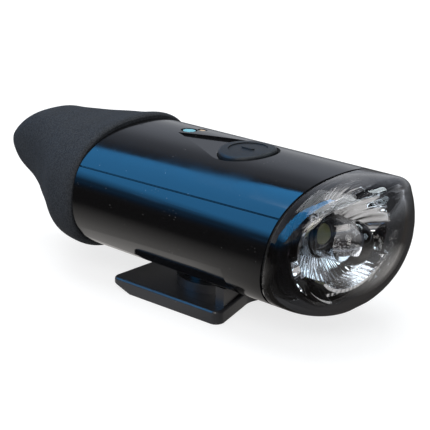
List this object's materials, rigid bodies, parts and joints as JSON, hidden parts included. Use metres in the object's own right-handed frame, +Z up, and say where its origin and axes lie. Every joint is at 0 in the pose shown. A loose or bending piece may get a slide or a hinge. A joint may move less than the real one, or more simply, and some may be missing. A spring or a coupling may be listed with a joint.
{
  "type": "bicycle headlight",
  "caption": "Handlebar headlight with a clear domed front, projector reflector, gloss black two-shell body, sprung power button, pull-off rubber cap over the charging port and a slide foot.",
  "frame": {"origin": "middle of the underside of the slide foot's plate, half way along it", "axes": "+X to the light's right seen from behind, +Y back towards the rubber cap, +Z up from the foot to the button; the beam leaves along -Y"},
  "size_m": [0.042, 0.1214, 0.0379],
  "materials": {
    "gloss_black": "gloss",
    "clear": "clear polycarbonate",
    "clear_optic": "clear acrylic",
    "seal": "matte",
    "surround_black": "satin",
    "bright_chrome": "mirror-coated plastic",
    "emitter_white": "matte",
    "phosphor_yellow": "satin",
    "board_white": "white solder mask",
    "bare_aluminium": "satin",
    "screw_steel": "satin",
    "cell_wrap": "shrink wrap",
    "inner_plastic": "matte",
    "plunger_plastic": "matte",
    "board_green": "solder mask",
    "button_rubber": "satin",
    "cyan_plastic": "translucent",
    "cream_plastic": "translucent",
    "coil_grey": "matte",
    "cap_rubber": "matte",
    "foot_black": "satin"
  },
  "bodies": {
    "light": {"upper_shell": "gloss_black", "lower_shell": "gloss_black", "front_lens": "clear", "lens_gasket": "seal", "reflector_surround": "surround_black", "reflector": "bright_chrome", "projector_lens": "clear_optic", "led_emitter": "emitter_white", "led_phosphor": "phosphor_yellow", "led_board": "board_white", "heat_sink": "bare_aluminium", "heat_sink_screws": "screw_steel", "cell": "cell_wrap", "cell_cradle": "inner_plastic", "cell_tabs": "screw_steel", "control_board": "board_green", "tactile_switch": "inner_plastic", "indicator_lens": "cyan_plastic", "indicator_dot": "cream_plastic", "indicator_leds": "emitter_white", "controller_chip": "inner_plastic", "power_coil": "coil_grey", "board_capacitors": "coil_grey", "port_board": "board_green", "charging_port": "screw_steel", "end_plate": "inner_plastic", "end_plate_screws": "screw_steel", "shell_screws": "screw_steel", "slide_foot": "foot_black", "foot_screws": "screw_steel"},
    "button": {"power_button": "button_rubber", "switch_plunger": "plunger_plastic"},
    "cap": {"rear_cap": "cap_rubber"}
  },
  "joints": [
    {"name": "button_press", "type": "slide", "parent": "light", "child": "button", "axis": [0, 0, -1], "range_m": [0, 0.0004], "stiffness_N_per_m": 600, "springref_m": -0.0012},
    {"name": "cap_pull", "type": "slide", "parent": "light", "child": "cap", "axis": [0, 1, 0], "range_m": [0, 0.024]}
  ]
}
